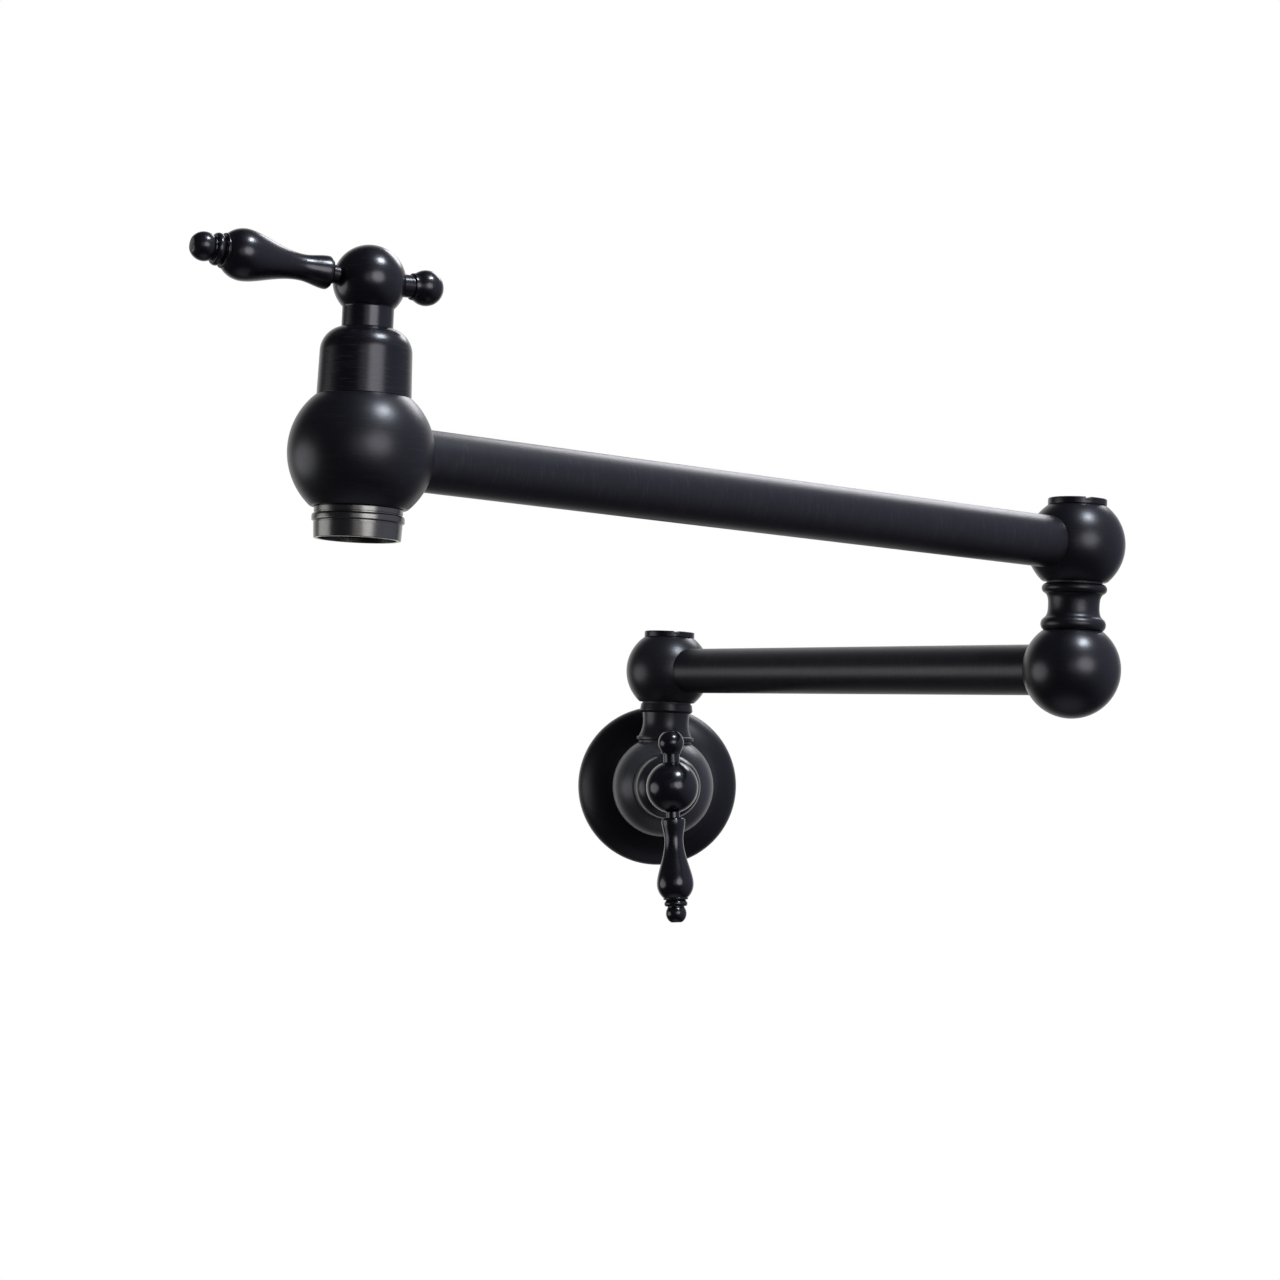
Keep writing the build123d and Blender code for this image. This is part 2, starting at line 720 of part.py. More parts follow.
def make_swivel_cap(name, seat, slot_heading):
    """Slotted screw cap on top of a swivel ball."""
    cap_top = ball_crown + cap_height
    plug_radius = nut_well - assembly_gap
    with BuildPart() as cap:
        add(lathe(
            seat,
            (0, ball_crown - cap_plug),
            (plug_radius, ball_crown - cap_plug),
            (plug_radius, ball_crown),
            (cap_radius - edge / 2, ball_crown),
            (cap_radius, ball_crown + edge / 2),
            (cap_radius, cap_top - edge),
            (cap_radius - edge, cap_top),
            (0, cap_top),
        ).part)
        slot_plane = Plane(origin=seat.origin, x_dir=heading(slot_heading), z_dir=seat.z_dir)
        with BuildSketch(slot_plane.offset(cap_top)):
            Rectangle(3 * cap_radius, slot_width)
        extrude(amount=-slot_depth, mode=Mode.SUBTRACT)
    save(name, cap)


def spigot(seat, foot):
    """The screwed foot, the spigot and the stud inside every neck."""
    return lathe(
        seat,
        (0, foot - foot_stud_length),
        (foot_stud_radius, foot - foot_stud_length),
        (foot_stud_radius, foot),
        (spigot_radius, foot),
        (spigot_radius, spigot_shoulder),
        (stud_radius, spigot_shoulder),
        (stud_radius, spigot_shoulder + stud_length),
        (0, spigot_shoulder + stud_length),
    ).part


def cut_spigot(seat, foot):
    """Cut the O-ring grooves, the water way and its cross holes into a neck."""
    for height in o_ring_heights:
        cut_o_ring_groove(seat, height, spigot_radius)
    bore(seat, foot - foot_stud_length, belt_middle, spigot_bore)
    for side in (seat.x_dir, seat.y_dir):
        bore(crossways(seat, side, belt_middle), -belt_radius, belt_radius, spigot_port)


def make_wall_neck():
    """Neck between the wall valve and the wall swivel: base ring, hollow waist, collar."""
    foot = boss_height - column_rise
    ring_crown = foot + neck_ring_height
    collar_foot = neck_top - neck_collar_height
    collar_top_radius = neck_collar - neck_collar_taper
    with BuildPart() as neck:
        with BuildSketch(half_section(wall_swivel)):
            with BuildLine():
                Polyline(
                    (0, foot),
                    (neck_ring - edge, foot),
                    (neck_ring, foot + edge),
                    (neck_ring, ring_crown - edge),
                    (neck_ring - edge, ring_crown),
                    (wall_neck_waist + 1.6, ring_crown),
                )
                Spline(
                    (wall_neck_waist + 1.6, ring_crown),
                    (wall_neck_waist + 0.45, ring_crown + 2.8),
                    (wall_neck_waist, (ring_crown + collar_foot) / 2 + 1.0),
                    (wall_neck_waist + 0.25, collar_foot - edge),
                )
                Polyline(
                    (wall_neck_waist + 0.25, collar_foot - edge),
                    (neck_collar - edge, collar_foot),
                    (neck_collar, collar_foot + edge),
                    (collar_top_radius, neck_top),
                    (0, neck_top),
                    (0, foot),
                )
            make_face()
        revolve(axis=axis_of(wall_swivel))
        add(spigot(wall_swivel, foot))
        cut_spigot(wall_swivel, foot)
    save("wall_swivel_neck", neck)


def make_elbow_neck():
    """Neck between the two elbow balls: a bead at each end and a hollow waist."""
    foot = elbow_top - elbow_rise
    lower_top = foot + lower_bead_height
    upper_foot = neck_top - upper_bead_height
    flare_radius = elbow_waist + (elbow_throat - elbow_waist) / 4
    lower_middle = foot + lower_bead_height / 2
    upper_middle = neck_top - upper_bead_height / 2
    throat = elbow_throat
    with BuildPart() as neck:
        with BuildSketch(half_section(elbow_swivel)):
            with BuildLine():
                Line((0, foot), (throat, foot))
                ThreePointArc((throat, foot), (elbow_bead, lower_middle), (throat, lower_top))
                ThreePointArc(
                    (throat, lower_top),
                    (flare_radius, lower_top + elbow_flare / 3),
                    (elbow_waist, lower_top + elbow_flare),
                )
                Line((elbow_waist, lower_top + elbow_flare), (elbow_waist, upper_foot - elbow_flare))
                ThreePointArc(
                    (elbow_waist, upper_foot - elbow_flare),
                    (flare_radius, upper_foot - elbow_flare / 3),
                    (throat, upper_foot),
                )
                ThreePointArc((throat, upper_foot), (elbow_bead, upper_middle), (throat, neck_top))
                Polyline((throat, neck_top), (0, neck_top), (0, foot))
            make_face()
        revolve(axis=axis_of(elbow_swivel))
        add(spigot(elbow_swivel, foot))
        cut_spigot(elbow_swivel, foot)
    save("elbow_neck", neck)


def make_retainers(prefix, seat, washer_radius):
    """O-rings, thrust washer, nut washer and retaining nut of one swivel."""
    save(f"{prefix}_o_rings", o_rings_at(seat, spigot_radius, *o_ring_heights))

    washer_top = -ball_foot - running_gap
    washer = ring(seat, neck_top, washer_top, spigot_radius + running_gap, washer_radius)
    save(f"{prefix}_thrust_washer", washer)

    nut_bore = stud_radius + assembly_gap
    nut_washer_foot = spigot_shoulder + running_gap
    nut_foot = nut_washer_foot + thrust_washer
    nut_washer = ring(seat, nut_washer_foot, nut_foot, nut_bore, nut_well - open_gap)
    save(f"{prefix}_nut_washer", nut_washer)

    with BuildPart() as nut:
        with BuildSketch(seat.offset(nut_foot)):
            RegularPolygon(nut_flats / 2, 6, major_radius=False)
            Circle(nut_bore, mode=Mode.SUBTRACT)
        extrude(amount=nut_height)
    save(f"{prefix}_nut", nut)


def make_elbow_lower_ball():
    """Lower elbow ball: carries the inner tube and the elbow neck."""
    stud_bore_foot = elbow_top - foot_stud_length
    water_space = foot_stud_radius - edge
    arm = crossways(elbow_low, elbow_low.x_dir)
    with BuildPart() as ball:
        with BuildSketch(half_section(elbow_low)):
            with BuildLine():
                ThreePointArc((0, -joint_ball), (joint_ball, 0), (elbow_flat, elbow_top))
                Polyline((elbow_flat, elbow_top), (0, elbow_top), (0, -joint_ball))
            make_face()
        revolve(axis=axis_of(elbow_low))
        bore(elbow_low, stud_bore_foot, elbow_top, foot_stud_radius + assembly_gap)
        bore(elbow_low, -water_space, stud_bore_foot, water_space)
        bore(arm, joint_socket_floor, joint_ball, tube_radius + brazed_gap)
        bore(arm, 0, joint_socket_floor, water_space)
    save("elbow_lower_ball", ball)


def make_tube(name, seat, reach, far_floor):
    """Straight arm tube between two sockets, along the seat's X."""
    along = crossways(seat, seat.x_dir)
    tube = ring(along, joint_socket_floor, reach - far_floor, tube_radius - tube_wall, tube_radius)
    save(name, tube)


# ---------------------------------------------------------------- outlet


def make_nozzle():
    """Screwed outlet: plain band, groove, flared ring, groove and a tapered lower band."""
    shoulder = -ball_base
    end = shoulder - nozzle_length
    thread_top = shoulder + nozzle_thread_length
    mouth = aerator_radius + assembly_gap
    seat_height = end + aerator_recess + aerator_height + aerator_washer
    groove_floor = nozzle_radius - nozzle_groove
    ridge_radius = nozzle_radius + nozzle_ridge
    bevel = edge / 2
    band_end = shoulder - nozzle_band
    ridge_top = band_end - nozzle_groove_width
    ridge_foot = ridge_top - nozzle_ridge_height
    lower_top = ridge_foot - nozzle_groove_width
    with BuildPart() as nozzle:
        with BuildSketch(half_section(spout_valve)):
            with BuildLine():
                Polyline(
                    (nozzle_bore, thread_top),
                    (nozzle_thread, thread_top),
                    (nozzle_thread, shoulder),
                    (nozzle_radius - bevel, shoulder),
                    (nozzle_radius, shoulder - bevel),
                    (nozzle_radius, band_end),
                    (groove_floor, band_end),
                    (groove_floor, ridge_top),
                    (nozzle_radius, ridge_top),
                    (ridge_radius, ridge_foot + 2 * bevel),
                    (ridge_radius - bevel, ridge_foot),
                    (groove_floor, ridge_foot),
                    (groove_floor, lower_top),
                    (nozzle_radius, lower_top),
                    (nozzle_radius - bevel, end + bevel),
                    (nozzle_radius - 2 * bevel, end),
                    (mouth, end),
                    (mouth, seat_height),
                    (nozzle_bore, seat_height),
                    (nozzle_bore, thread_top),
                )
            make_face()
        revolve(axis=axis_of(spout_valve))
    save("outlet_nozzle", nozzle)


def make_aerator():
    """Perforated insert and its washer, inside the nozzle."""
    foot = aerator_recess - ball_base - nozzle_length
    top = foot + aerator_height
    plate_top = foot + aerator_plate
    with BuildPart() as insert:
        with BuildSketch(spout_valve.offset(foot)):
            Circle(aerator_radius)
            cut_hole_rings(aerator_hole, (2.7, 6), (5.2, 12), (7.7, 18))
        extrude(amount=aerator_plate)
        add(ring(spout_valve, plate_top, top, aerator_radius - aerator_wall, aerator_radius).part)
    save("aerator_insert", insert)
    save("aerator_gasket", ring(spout_valve, top, top + aerator_washer, nozzle_bore, aerator_radius))


# ---------------------------------------------------------------- the whole tap

os.makedirs("parts", exist_ok=True)

make_flange()
make_inlet()
make_wall_valve_body()
make_spout_body()

hanging = Vector(sin(radians(wall_lever_swing)), 0, -cos(radians(wall_lever_swing)))
for prefix, seat, lever_direction in (
    ("wall", wall_valve, hanging),
    ("spout", spout_valve, heading(spout_lever_heading)),
):
    make_cartridge(prefix, seat)
    make_turning_valve_parts(prefix, seat, lever_direction)
    make_bonnet(prefix, seat)
    make_handle(prefix, seat, lever_direction)

make_wall_neck()
make_elbow_neck()
make_elbow_lower_ball()
for prefix, seat, slot_heading, washer_radius in (
    ("wall_swivel", wall_swivel, wall_slot_heading, neck_collar - neck_collar_taper - edge),
    ("elbow_swivel", elbow_swivel, elbow_slot_heading, elbow_throat - edge),
):
    make_retainers(prefix, seat, washer_radius)
    make_swivel_ball(f"{prefix}_ball", seat)
    make_swivel_cap(f"{prefix}_cap", seat, slot_heading)

make_tube("inner_tube", wall_swivel, inner_reach, joint_socket_floor)
make_tube("outer_tube", elbow_swivel, outer_reach, spout_socket_floor)
make_nozzle()
make_aerator()
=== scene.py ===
import json
from math import cos, hypot, pi, radians, sin, sqrt

import bmesh
import bpy
from mathutils import Matrix, Vector
from mathutils.geometry import interpolate_bezier


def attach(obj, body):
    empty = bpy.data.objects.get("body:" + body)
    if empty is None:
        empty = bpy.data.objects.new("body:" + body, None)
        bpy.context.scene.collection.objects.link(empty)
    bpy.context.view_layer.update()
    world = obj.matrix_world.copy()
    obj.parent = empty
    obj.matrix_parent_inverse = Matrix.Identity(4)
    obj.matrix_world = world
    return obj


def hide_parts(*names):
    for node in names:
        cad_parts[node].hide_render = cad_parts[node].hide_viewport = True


# A wall mounted pot filler in satin black. Sizes and outlines are in millimetres and the finished
# meshes in metres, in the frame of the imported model: the wall is the plane Y = 0 and +Z is up.

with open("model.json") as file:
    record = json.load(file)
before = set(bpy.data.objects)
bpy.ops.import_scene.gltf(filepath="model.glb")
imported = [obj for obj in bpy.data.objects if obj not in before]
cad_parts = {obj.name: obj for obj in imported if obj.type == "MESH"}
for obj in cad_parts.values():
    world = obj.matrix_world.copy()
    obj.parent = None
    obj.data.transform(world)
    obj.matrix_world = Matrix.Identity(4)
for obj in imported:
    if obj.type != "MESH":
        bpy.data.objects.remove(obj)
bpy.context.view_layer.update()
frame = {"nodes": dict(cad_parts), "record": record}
nodes = frame["nodes"]
MM = 0.001


# ---------------------------------------------------------------- where the pieces sit


def heading(angle):
    """Unit vector in the level plane, anticlockwise from +X."""
    return Vector((cos(radians(angle)), sin(radians(angle)), 0))


def seat(origin, axis, towards):
    """Placing matrix of a turned piece: its axis, and the direction that its own X faces."""
    z = axis.normalized()
    x = (towards - z * towards.dot(z)).normalized()
    placed = Matrix((x, z.cross(x), z)).transposed().to_4x4()
    placed.translation = origin * MM
    return placed


COLUMN = 37.8               # wall to the axis of the swivel column
RISE = 51.3                 # wall valve up to the wall swivel
ELBOW_RISE = 47.2           # lower ball of the elbow up to its upper ball
INNER_REACH, INNER_HEADING = 246.5, -56.2
OUTER_REACH, OUTER_HEADING = 328.5, 216.8
WALL_LEVER_SWING = 4.0      # tip of the hanging lever, from straight down towards +X
SPOUT_LEVER_HEADING = 205.8
LEVER_TILT, KNOB_TILT = 4.2, 1.0
WALL_SLOT_HEADING, ELBOW_SLOT_HEADING = -77.0, -80.0

UP, OUT, SIDE = Vector((0, 0, 1)), Vector((0, -1, 0)), Vector((1, 0, 0))
valve_point = Vector((0, -COLUMN, 0))
ball_point = valve_point + UP * RISE
elbow_low_point = ball_point + heading(INNER_HEADING) * INNER_REACH
elbow_high_point = elbow_low_point + UP * ELBOW_RISE
spout_point = elbow_high_point + heading(OUTER_HEADING) * OUTER_REACH

WALL = seat(Vector((0, 0, 0)), OUT, SIDE)
WALL_VALVE = seat(valve_point, OUT, SIDE)
WALL_SWIVEL = seat(ball_point, UP, heading(INNER_HEADING))
ELBOW_LOW = seat(elbow_low_point, UP, -heading(INNER_HEADING))
ELBOW_SWIVEL = seat(elbow_high_point, UP, heading(OUTER_HEADING))
SPOUT_VALVE = seat(spout_point, UP, -heading(OUTER_HEADING))
INNER_TUBE = seat(ball_point, heading(INNER_HEADING), UP)
OUTER_TUBE = seat(elbow_high_point, heading(OUTER_HEADING), UP)


# ---------------------------------------------------------------- finishes

MIX_FIRST, MIX_SECOND, MIX_RESULT = 6, 7, 2     # the colour sockets of a Mix node
MICRON = 0.000001


class Wire:
    """A shader socket that takes part in sums."""

    def __init__(self, finish, socket):
        self.finish = finish
        self.socket = socket

    def sum(self, operation, other):
        return self.finish.node("ShaderNodeMath", {"operation": operation}, {0: self, 1: other})

    def __add__(self, other):
        return self.sum("ADD", other)

    def __mul__(self, other):
        return self.sum("MULTIPLY", other)

    __radd__ = __add__
    __rmul__ = __mul__


class Finish:
    """The node tree of one material or of the world."""

    def __init__(self, owner):
        owner.use_nodes = True
        self.owner = owner
        self.tree = owner.node_tree
        self.tree.nodes.clear()

    def node(self, kind, settings=None, sockets=None, output=0):
        """Add a node: its settings first, then the values or links of its sockets."""
        made = self.tree.nodes.new(kind)
        for key, value in (settings or {}).items():
            setattr(made, key, value)
        for key, value in (sockets or {}).items():
            if isinstance(value, Wire):
                self.tree.links.new(value.socket, made.inputs[key])
            else:
                made.inputs[key].default_value = value
        return Wire(self, made.outputs[output]) if made.outputs else None

    def noise(self, place, waves, detail=3.0, roughness=0.6):
        """Noise over a place, with so many waves in a metre along X, Y and Z."""
        spread = self.node("ShaderNodeVectorMath", {"operation": "MULTIPLY"}, {0: place, 1: waves})
        sockets = {"Vector": spread, "Scale": 1.0, "Detail": detail, "Roughness": roughness}
        return self.node("ShaderNodeTexNoise", {}, sockets)

    def ramp(self, value, low, high):
        """Value spread so that low becomes 0 and high becomes 1."""
        sockets = {"Value": value, "From Min": low, "From Max": high}
        return self.node("ShaderNodeMapRange", {"clamp": True}, sockets)

    def mix(self, factor, first, second):
        """A colour between two colours, each a wire or its red, green and blue."""
        first, second = (end if isinstance(end, Wire) else (*end, 1) for end in (first, second))
        sockets = {"Factor": factor, MIX_FIRST: first, MIX_SECOND: second}
        return self.node("ShaderNodeMix", {"data_type": "RGBA"}, sockets, MIX_RESULT)

    def ray(self, kind):
        """1 for the rays of a kind and 0 for all others."""
        return self.node("ShaderNodeLightPath", output=f"Is {kind} Ray")

    def side(self, direction, axis):
        """How far a direction points along X, Y or Z."""
        return self.node("ShaderNodeSeparateXYZ", {}, {0: direction}, "XYZ".index(axis))

    def principled(self, height, sockets):
        """Close the material with one shader, over a relief whose height is in metres."""
        relief = {"Height": height, "Strength": 1.0, "Distance": 1.0}
        sockets["Normal"] = self.node("ShaderNodeBump", {}, relief)
        return self.surface(self.node("ShaderNodeBsdfPrincipled", {}, sockets))

    def surface(self, shader):
        of_world = isinstance(self.owner, bpy.types.World)
        kind = "ShaderNodeOutputWorld" if of_world else "ShaderNodeOutputMaterial"
        self.node(kind, {}, {"Surface": shader})
        return self.owner


def material(name):
    return Finish(bpy.data.materials.new(name))


def along(finish, placed):
    """Object coordinates seen from a piece's own seat: its axis is Z."""
    sockets = {
        "Vector": finish.node("ShaderNodeTexCoord", output="Object"),
        "Location": placed.translation,
        "Rotation": placed.to_euler("XYZ"),
    }
    return finish.node("ShaderNodeMapping", {"vector_type": "TEXTURE"}, sockets)


def satin_black(
    name, placed, grain=0.2, gloss=0.0, warm=0.0, shine=0.5, ior=1.5, painted_sheen=0.0, grit=0.4
):
    """Black coat over brass that was brushed on the lathe: fine rings about the piece's axis.

    Grain sets the depth of the rings, gloss smooths the coat, warm tints its reflections and grit
    is the fine speckle of the coat. The grey added to the black is a painted sheen, set piece by
    piece so that pieces that catch more light look lighter.
    """
    f = material(name)
    place = along(f, placed)
    rings = f.noise(place, (25, 25, 2600), detail=4.0, roughness=0.7)
    scratches = f.ramp(f.noise(place, (130, 130, 2600), detail=2.0), 0.57, 0.72)
    clouds = f.noise(place, (28, 28, 28), detail=4.0)
    speckle = f.noise(place, (5200, 5200, 5200), detail=1.0)
    # Both ring colours carry the added grey, a painted sheen for the light that falls on the piece.
    deep_and_sheen = (0.0032 + painted_sheen, 0.0030 + painted_sheen, 0.0052 + painted_sheen)
    worn_and_sheen = (0.0050 + 1.5 * painted_sheen, 0.0047 + 1.5 * painted_sheen, 0.0072 + 1.5 * painted_sheen)
    bared = (0.04, 0.039, 0.042)
    coat = f.mix(f.ramp(rings, 0.35, 0.7), deep_and_sheen, worn_and_sheen)
    relief = rings * (12 * MICRON * grain) + scratches * (6 * MICRON * grain)
    return f.principled(
        relief + speckle * (4 * MICRON * grit),
        {
            "Base Color": f.mix(scratches * (0.6 * grain), coat, bared),
            "Roughness": clouds * 0.1 + rings * (0.12 * grain) + (0.27 - gloss),
            "IOR": ior,
            "Specular IOR Level": shine,
            "Specular Tint": (1.0, 1.0 - 0.15 * warm, 1.0 - warm, 1),
        },
    )


def machined(name, placed, light, dark, rough):
    """Bare turned metal with tool marks."""
    f = material(name)
    place = along(f, placed)
    marks = f.noise(place, (40, 40, 3500))
    tarnish = f.noise(place, (90, 90, 90), detail=4.0)
    return f.principled(
        marks * (10 * MICRON),
        {
            "Base Color": f.mix(f.ramp(tarnish, 0.4, 0.75), light, dark),
            "Metallic": 1.0,
            "Roughness": marks * 0.16 + tarnish * 0.12 + rough,
        },
    )


def moulded(name, light, dark, rough):
    """Rubber, nylon, plastic or ceramic: faint mottling and a fine even grain."""
    f = material(name)
    place = f.node("ShaderNodeTexCoord", output="Object")
    mottle = f.noise(place, (700, 700, 700))
    grain = f.noise(place, (6000, 6000, 6000), detail=1.0)
    return f.principled(
        grain * (8 * MICRON),
        {"Base Color": f.mix(mottle, light, dark), "Roughness": mottle * 0.15 + rough},
    )


def give(node, finish):
    """Put a finish on a CAD node."""
    mesh = nodes[node].data
    mesh.materials.clear()
    mesh.materials.append(finish)


brass = machined("turned_brass", WALL, (0.72, 0.5, 0.22), (0.42, 0.27, 0.1), 0.18)
inner_finish = {
    "brass": brass,
    "steel": machined("plain_steel", WALL, (0.5, 0.5, 0.5), (0.3, 0.3, 0.31), 0.2),
    "ceramic": moulded("polished_ceramic", (0.88, 0.87, 0.84), (0.8, 0.78, 0.74), 0.08),
    "rubber": moulded("black_rubber", (0.02, 0.02, 0.02), (0.035, 0.035, 0.034), 0.55),
    "nylon": moulded("black_nylon", (0.02, 0.02, 0.021), (0.032, 0.032, 0.033), 0.42),
    "insert_plastic": moulded(
        "dark_grey_plastic", (0.07, 0.07, 0.072), (0.11, 0.11, 0.112), 0.38
    ),
}

for part in frame["record"]["subparts"]:
    if part["material_slot"] != "satin_black":
        give(part["node"], inner_finish[part["material_slot"]])


# ---------------------------------------------------------------- how turned pieces are made

MERGED = 0.0005     # points nearer than this are one point
ON_RIM = 0.01       # how near a point of a rim is to the corner that was drawn

carried_by = {
    node: body
    for body, members in frame["record"]["behaviour"]["bodies"].items()
    for node in members
}


def on_rim(edge, radius, height):
    """Whether an edge lies on the circle that a corner of an outline makes."""
    return all(
        abs(hypot(v.co.x, v.co.y) - radius) + abs(v.co.z - height) < ON_RIM for v in edge.verts
    )


class Outline:
    """Half section of a turned piece, drawn corner by corner: X is its radius and Z its height."""

    def __init__(self, radius, height):
        self.bm = bmesh.new()
        self.first = self.end = self.bm.verts.new((radius, 0, height))
        self.rounded = {}

    def to(self, *corners):
        """Straight runs to corners, each a radius, a height and the rounding of that edge."""
        for radius, height, *rounding in corners:
            made = self.bm.verts.new((radius, 0, height))
            self.bm.edges.new((self.end, made))
            self.end = made
            self.soften(*rounding)
        return self

    def soften(self, rounding=0.0):
        """Round the edge that the last corner makes."""
        if rounding:
            self.rounded.setdefault(rounding, []).append((self.end.co.x, self.end.co.z))
        return self

    def through(self, middle, end, steps, rounding=0.0):
        """An arc from the last corner through a middle point to its end."""
        start = Vector((self.end.co.x, self.end.co.z))
        a, b = Vector(middle) - start, Vector(end) - start
        turn = 2 * (a.x * b.y - a.y * b.x)
        centre = start + Vector((
            b.y * a.length_squared - a.y * b.length_squared,
            a.x * b.length_squared - b.x * a.length_squared,
        )) / turn
        angle = (start - centre).angle_signed(Vector(end) - centre)
        if angle * turn > 0:
            angle -= 2 * pi * (1 if angle > 0 else -1)
        spun = bmesh.ops.spin(
            self.bm, geom=[self.end], cent=(centre.x, 0, centre.y), axis=(0, 1, 0),
            angle=angle, steps=steps,
        )
        self.end = next(part for part in spun["geom_last"] if isinstance(part, bmesh.types.BMVert))
        return self.soften(rounding)

    def flow(self, leaving, arriving, end, steps):
        """A smooth curve that leaves and arrives towards two handle points."""
        handles = ((radius, 0, height) for radius, height in (leaving, arriving, end))
        points = interpolate_bezier(self.end.co, *handles, steps)
        return self.to(*((point.x, point.z) for point in points[1:]))

    def close(self):
        self.bm.edges.new((self.end, self.first))
        return self

    def turned(self, sides=128):
        """Spin the outline about its axis and round its edges, still in millimetres."""
        bm = self.bm
        bmesh.ops.spin(
            bm, geom=bm.verts[:] + bm.edges[:], cent=(0, 0, 0), axis=(0, 0, 1),
            angle=2 * pi, steps=sides, use_merge=True,
        )
        bmesh.ops.remove_doubles(bm, verts=bm.verts, dist=MERGED)
        bmesh.ops.recalc_face_normals(bm, faces=bm.faces)
        for rounding, corners in self.rounded.items():
            rims = [edge for edge in bm.edges if any(on_rim(edge, *corner) for corner in corners)]
            bmesh.ops.bevel(
                bm, geom=rims, offset=rounding, offset_type="OFFSET", segments=4, profile=0.5,
                affect="EDGES", clamp_overlap=True, material=-1,
            )
        return bm


def to_place(bm, placed):
    """Move a shape from millimetres at the origin to metres at its seat."""
    bmesh.ops.transform(bm, matrix=placed @ Matrix.Scale(MM, 4), verts=bm.verts)


def shown(name, bm):
    """Make a shape an object of the scene."""
    made = bpy.data.objects.new(name, bpy.data.meshes.new(name))
    bm.to_mesh(made.data)
    bm.free()
    bpy.context.scene.collection.objects.link(made)
    return made


def drill(placed, radius, bottom, top):
    """Round cutter along a seat's axis."""
    bm = bmesh.new()
    bmesh.ops.create_cone(
        bm, cap_ends=True, segments=48, radius1=radius, radius2=radius, depth=top - bottom
    )
    bmesh.ops.translate(bm, verts=bm.verts, vec=(0, 0, (bottom + top) / 2))
    to_place(bm, placed)
    return bm


def carve(piece, bm):
    """Cut a closed shape out of a piece, for good."""
    cutter = shown("cutter", bm)
    cut = piece.modifiers.new("cut", "BOOLEAN")
    cut.operation, cut.solver, cut.object = "DIFFERENCE", "EXACT", cutter
    bpy.context.view_layer.update()
    graph = bpy.context.evaluated_depsgraph_get()
    carved = bpy.data.meshes.new_from_object(piece.evaluated_get(graph))
    piece.modifiers.clear()
    blank, piece.data = piece.data, carved
    spent = cutter.data
    bpy.data.objects.remove(cutter)
    bpy.data.meshes.remove(spent)
    bpy.data.meshes.remove(blank)


def fit(node, bm, placed, finish, cutters=()):
    """Make a turned shape the piece that stands for a CAD node, in its place on its body."""
    to_place(bm, placed)
    piece = shown(node + "_turned", bm)
    for cutter in cutters:
        carve(piece, cutter)
    piece.data.materials.append(finish)
    piece.data.shade_smooth()
    piece.data.set_sharp_from_angle(angle=radians(32))
    if cutters:
        edges = piece.modifiers.new("broken_edges", "BEVEL")
        edges.width, edges.segments = 0.12 * MM, 2
        edges.limit_method, edges.angle_limit = "ANGLE", radians(50)
    even = piece.modifiers.new("even_shading", "WEIGHTED_NORMAL")
    even.keep_sharp = True
    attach(piece, carried_by[node])
    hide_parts(node)


# ---------------------------------------------------------------- sizes that pieces share


def on_circle(radius, offset):
    """The other coordinate of a point of a circle about the origin."""
    return sqrt(radius**2 - offset**2)


QUARTER = 0.5523            # handle of a curve that draws a quarter round, as part of its size
GAP = 0.05                  # a piece that is screwed, pressed or turns in another

JOINT, VALVE = 18.5, 22.4   # radii of the swivel balls and of the valve balls
FOOT_FLAT = 12.1            # radius of the flat under a swivel ball
CAP_FLAT, CAP_HEIGHT = 10.95, 2.6
ELBOW_FLAT = 11.35          # radius of the lower elbow ball's flat top
SPIGOT, SPIGOT_BORE = 7.0, 4.5
NECK_STUD, NECK_STUD_LENGTH = 7.5, 7.0
BOSS_TOP = VALVE - 2.3      # boss of the wall valve, under the swivel neck
BONNET_FLAT, SPOUT_FLAT = 14.6, 14.7    # flats of a valve ball: for its bonnet and its outlet
PORT = 5.0                  # radius of a valve's seat port
STUD, STUD_ROOT = 2.5, 2.0  # screwed stud of a lever or knob
COLLAR_SEAT = 10.4          # where a lever or knob starts on its hub, from the hub's middle
GRUB_HEIGHT = 3.1           # grub screw above the bonnet's top
JOINT_SOCKET, SPOUT_SOCKET = 10.99, 13.3    # ends of the tubes, from the middles of their balls
SHANK_BACK = 1.2            # back end of the wall valve, in front of the wall

# heights of the swivels and valves, each from the middle of its own ball
FOOT = on_circle(JOINT, FOOT_FLAT)
CROWN = on_circle(JOINT, CAP_FLAT)
SHOULDER = CROWN - 5.9              # top of a neck's spigot, under the retaining nut
NECK_TOP = -FOOT - 0.8              # under the thrust washer
WATER_BOTTOM, WATER_TOP = 8.0 - FOOT, SHOULDER - 4.8
WATER = (WATER_BOTTOM + WATER_TOP) / 2      # of the water space round a spigot
FRONT = on_circle(VALVE, BONNET_FLAT)
BASE = on_circle(VALVE, SPOUT_FLAT)
RING_TOP = FRONT + 3.0              # raised ring inside the bonnet
GLAND = RING_TOP + 10.0             # top of the cartridge
BONNET_TOP = FRONT + 21.0
HUB = BONNET_TOP + 14.3             # middle of the handle's ball
SPINDLE = HUB - 6.8                 # top of the spindle


# ---------------------------------------------------------------- pieces of the wall


